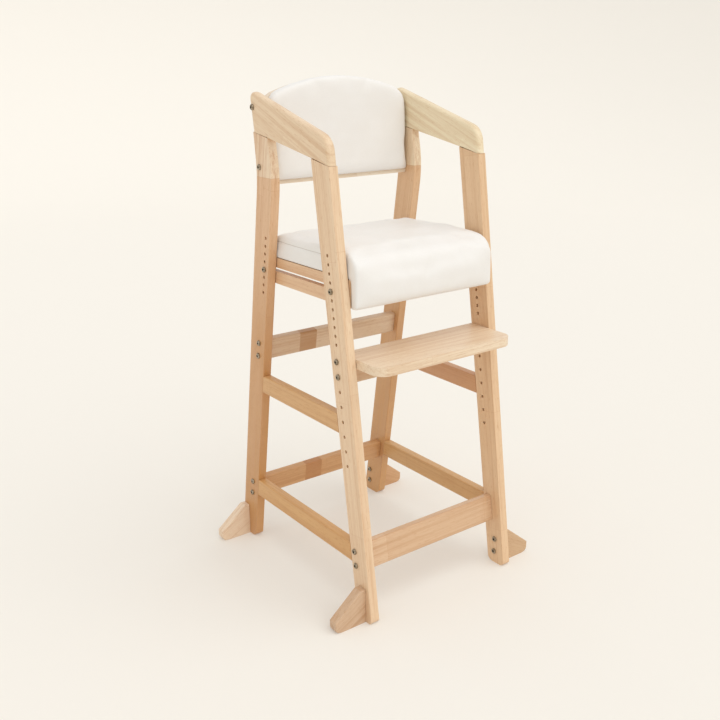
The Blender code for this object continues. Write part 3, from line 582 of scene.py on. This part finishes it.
back_pad = pad_start("backrest_cushion")
swell(back_pad, BACK_VOXEL, on_board, near_board)
refine(back_pad)
for vert in back_pad.data.vertices:
    vert.co.x = max(-PAD_HALF_WIDTH, min(PAD_HALF_WIDTH, vert.co.x))
    vert.co.z += COVER_RISE * max(vert.co.z - back_low.z, 0) / (back_high.z - back_low.z)
finish_pad(back_pad, white_vinyl("back_vinyl"), "frame", "backrest_cushion")


# ---------------------------------------------------------------- bolts and nuts
# Domed furniture bolts of steel with an antique brass plating, each with a hexagon socket in its
# head. The seat's front pair end in nuts of the same metal behind the slotted rails.

HEAD_HEIGHT = 0.0034
HEAD_RADIUS = 0.0061
RIM_HEIGHT = 0.0009
CROWN_RADIUS = 0.0033
HEAD_EASE = 0.0003
DOME_STEPS = 7
SHANK_RADIUS = 0.0030
TIP_CHAMFER = 0.0008
SOCKET_RADIUS = 0.0024
SOCKET_DEPTH = 0.0022
SOCKET_DIMPLE = 0.0006
BOLT_SIDES = 36
BOLT_CREASE = 0.55
NUT_EASE = 0.0004
SIXTH = math.pi / 3


def plated_metal(name, dull, bright):
    """Plated metal whose tone drifts between a dull and a bright one, with fine wear."""
    made, shader, place = new_finish(name)
    wear = place.noise((900, 900, 900), detail=3.0)
    cloud = place.noise((240, 240, 240), detail=2.0)
    colour = cloud.ramp(0.35, 0.65).tint((*dull, 1), (*bright, 1))
    bump = place.node("ShaderNodeBump", {"Strength": 0.10, "Distance": 0.0002, "Height": wear})
    drive(shader, Base_Color=colour, Normal=bump, Roughness=0.24 + wear * 0.16)
    shader.inputs["Metallic"].default_value = 1.0
    return made


def bolt_solid(length):
    """A bolt along +X with its head's underside at the origin, spun from its profile."""
    profile = [
        (-length, 0), (-length, SHANK_RADIUS - TIP_CHAMFER), (-length + TIP_CHAMFER, SHANK_RADIUS),
        (0, SHANK_RADIUS), (0, HEAD_RADIUS - HEAD_EASE), (HEAD_EASE, HEAD_RADIUS)]
    for k in range(DOME_STEPS):
        turn = math.pi / 2 * k / DOME_STEPS
        profile.append((
            RIM_HEIGHT + (HEAD_HEIGHT - RIM_HEIGHT) * math.sin(turn),
            CROWN_RADIUS + (HEAD_RADIUS - CROWN_RADIUS) * math.cos(turn)))
    profile += [
        (HEAD_HEIGHT, CROWN_RADIUS - 0.0002), (HEAD_HEIGHT, SOCKET_RADIUS + HEAD_EASE),
        (HEAD_HEIGHT - HEAD_EASE, SOCKET_RADIUS), (HEAD_HEIGHT - SOCKET_DEPTH, SOCKET_RADIUS),
        (HEAD_HEIGHT - SOCKET_DEPTH - SOCKET_DIMPLE, 0)]
    bm = bmesh.new()
    points = [bm.verts.new((x, radius, 0)) for x, radius in profile]
    edges = [bm.edges.new(pair) for pair in zip(points, points[1:])]
    bmesh.ops.spin(
        bm, geom=points + edges, cent=(0, 0, 0), axis=(1, 0, 0), angle=2 * math.pi,
        steps=BOLT_SIDES, use_merge=True)
    bmesh.ops.remove_doubles(bm, verts=bm.verts, dist=1e-6)
    for vert in bm.verts:
        around = math.atan2(vert.co.z, vert.co.y)
        off_axis = math.hypot(vert.co.y, vert.co.z)
        in_socket = vert.co.x > 0.001 and 1e-4 < off_axis < SOCKET_RADIUS + 0.0004
        if in_socket:
            pull = math.cos(SIXTH / 2) / math.cos(around % SIXTH - SIXTH / 2)
            vert.co.y *= pull
            vert.co.z *= pull
    bmesh.ops.recalc_face_normals(bm, faces=bm.faces)
    for face in bm.faces:
        face.smooth = True
        # Faces deep in the socket take the second material: painted shade for the dark recess.
        deep = face.calc_center_median().x > HEAD_HEIGHT - SOCKET_DEPTH - SOCKET_DIMPLE - 0.0001
        inside = all(math.hypot(v.co.y, v.co.z) < SOCKET_RADIUS + 0.0001 for v in face.verts)
        face.material_index = 1 if deep and inside else 0
    for edge in bm.edges:
        edge.smooth = edge.calc_face_angle() < BOLT_CREASE
    return bm


plate = plated_metal("antique_plate", (0.240, 0.190, 0.130), (0.460, 0.390, 0.300))
# A near-black copy of the plating: painted shade inside the hexagon sockets.
painted_socket_shade = plated_metal("painted_socket_shade", (0.020, 0.016, 0.012), (0.050, 0.040, 0.030))
bodies = frame["record"]["behaviour"]["bodies"]
body_of = {node: body for body, nodes in bodies.items() for node in nodes}
for node in sorted(n for n in frame["nodes"] if "_bolt_" in n):
    low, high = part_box(node)
    side = math.copysign(1, low.x + high.x)
    outward = side if "foot_bolt" not in node else -side
    head_top = high.x if outward > 0 else low.x
    bm = bolt_solid(high.x - low.x - HEAD_HEIGHT)
    middle = (low + high) / 2
    spot = Matrix.Translation((head_top - outward * HEAD_HEIGHT, middle.y, middle.z))
    facing = Matrix.Rotation(0 if outward > 0 else math.pi, 4, "Z")
    tightened = Matrix.Rotation(0.4 + 7 * middle.z, 4, "X")
    bm.transform(spot @ (facing @ tightened))
    mesh = bpy.data.meshes.new(f"{node}_metal")
    bm.to_mesh(mesh)
    bm.free()
    mesh.materials.append(plate)
    mesh.materials.append(painted_socket_shade)
    bolt = bpy.data.objects.new(f"{node}_detailed", mesh)
    bpy.context.scene.collection.objects.link(bolt)
    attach(bolt, body_of[node])
    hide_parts(node)
for hand in ("left", "right"):
    eased_board(f"seat_nut_{hand}", "seat_bolts", plate, ease=NUT_EASE)


# ---------------------------------------------------------------- stage, light and camera
# A pale round paper sweep: a floor that curves up into a low wall on every side. One large soft
# light from above and in front casts faint shadows, and a pale sky fills them.

CREAM = (0.690, 0.666, 0.622, 1)
CREAM_DEEPER = (0.683, 0.658, 0.613, 1)
PAPER_GLOW = 0.28
FLOOR_RADIUS = 5.0
WALL_CURVE = 3.0
WALL_STEPS = 12
SWEEP_SIDES = 64
sweep_mesh = bpy.data.meshes.new("sweep")
bm = bmesh.new()
line = [(0, 0, 0), (FLOOR_RADIUS, 0, 0)]
for k in range(1, WALL_STEPS + 1):
    turn = math.pi / 2 * k / WALL_STEPS
    line.append((FLOOR_RADIUS + WALL_CURVE * math.sin(turn), 0, WALL_CURVE * (1 - math.cos(turn))))
points = [bm.verts.new(p) for p in line]
edges = [bm.edges.new(pair) for pair in zip(points, points[1:])]
bmesh.ops.spin(
    bm, geom=points + edges, cent=(0, 0, 0), axis=(0, 0, 1), angle=2 * math.pi,
    steps=SWEEP_SIDES, use_merge=True)
bmesh.ops.remove_doubles(bm, verts=bm.verts, dist=1e-5)
bmesh.ops.recalc_face_normals(bm, faces=bm.faces)
for face in bm.faces:
    face.smooth = True
bm.to_mesh(sweep_mesh)
bm.free()
paper, paper_shader, paper_place = new_finish("paper_sweep")
paper_tone = paper_place.noise((1.5, 1.5, 1.5), detail=1.0)
drive(paper_shader, Base_Color=(paper_tone * 0.3).tint(CREAM, CREAM_DEEPER))
paper_shader.inputs["Roughness"].default_value = 0.95
paper_shader.inputs["Specular IOR Level"].default_value = 0.0
paper_shader.inputs["Emission Color"].default_value = CREAM
paper_shader.inputs["Emission Strength"].default_value = PAPER_GLOW
sweep_mesh.materials.append(paper)
sweep = bpy.data.objects.new("sweep", sweep_mesh)
bpy.context.scene.collection.objects.link(sweep)

SKY_COLOUR = (1.0, 0.992, 0.975, 1)
SKY_STRENGTH = 0.76
sky = bpy.data.worlds.new("pale_sky")
sky.use_nodes = True
sky.node_tree.nodes["Background"].inputs["Color"].default_value = SKY_COLOUR
sky.node_tree.nodes["Background"].inputs["Strength"].default_value = SKY_STRENGTH
bpy.context.scene.world = sky

KEY_FROM = Vector((0.20, -0.60, 1.00))
KEY_STRENGTH = 1.20
KEY_SPREAD = math.radians(70)
key = bpy.data.lights.new("key_light", "SUN")
key.energy = KEY_STRENGTH
key.angle = KEY_SPREAD
key.color = (1.0, 0.985, 0.955)
key_lamp = bpy.data.objects.new("key_light", key)
key_lamp.rotation_euler = KEY_FROM.to_track_quat("Z", "Y").to_euler()
bpy.context.scene.collection.objects.link(key_lamp)

CAMERA_AT = Vector((-1.1297, -1.4821, 1.0707))
CAMERA_AZIMUTH = math.radians(-36.58)
CAMERA_HEIGHT = math.radians(18.36)
CAMERA_ROLL = math.radians(-0.36)
lens = bpy.data.cameras.new("camera")
lens.lens = 45.345
lens.sensor_width = 36
lens.clip_start = 0.05
camera = bpy.data.objects.new("camera", lens)
back = Vector((
    math.sin(CAMERA_AZIMUTH) * math.cos(CAMERA_HEIGHT),
    -math.cos(CAMERA_AZIMUTH) * math.cos(CAMERA_HEIGHT),
    math.sin(CAMERA_HEIGHT)))
right = Vector((math.cos(CAMERA_AZIMUTH), math.sin(CAMERA_AZIMUTH), 0))
level = Matrix((right, back.cross(right), back)).transposed().to_4x4()
camera.matrix_world = Matrix.Translation(CAMERA_AT) @ level @ Matrix.Rotation(CAMERA_ROLL, 4, "Z")
bpy.context.scene.collection.objects.link(camera)
bpy.context.scene.camera = camera
bpy.context.scene.view_settings.view_transform = "Standard"
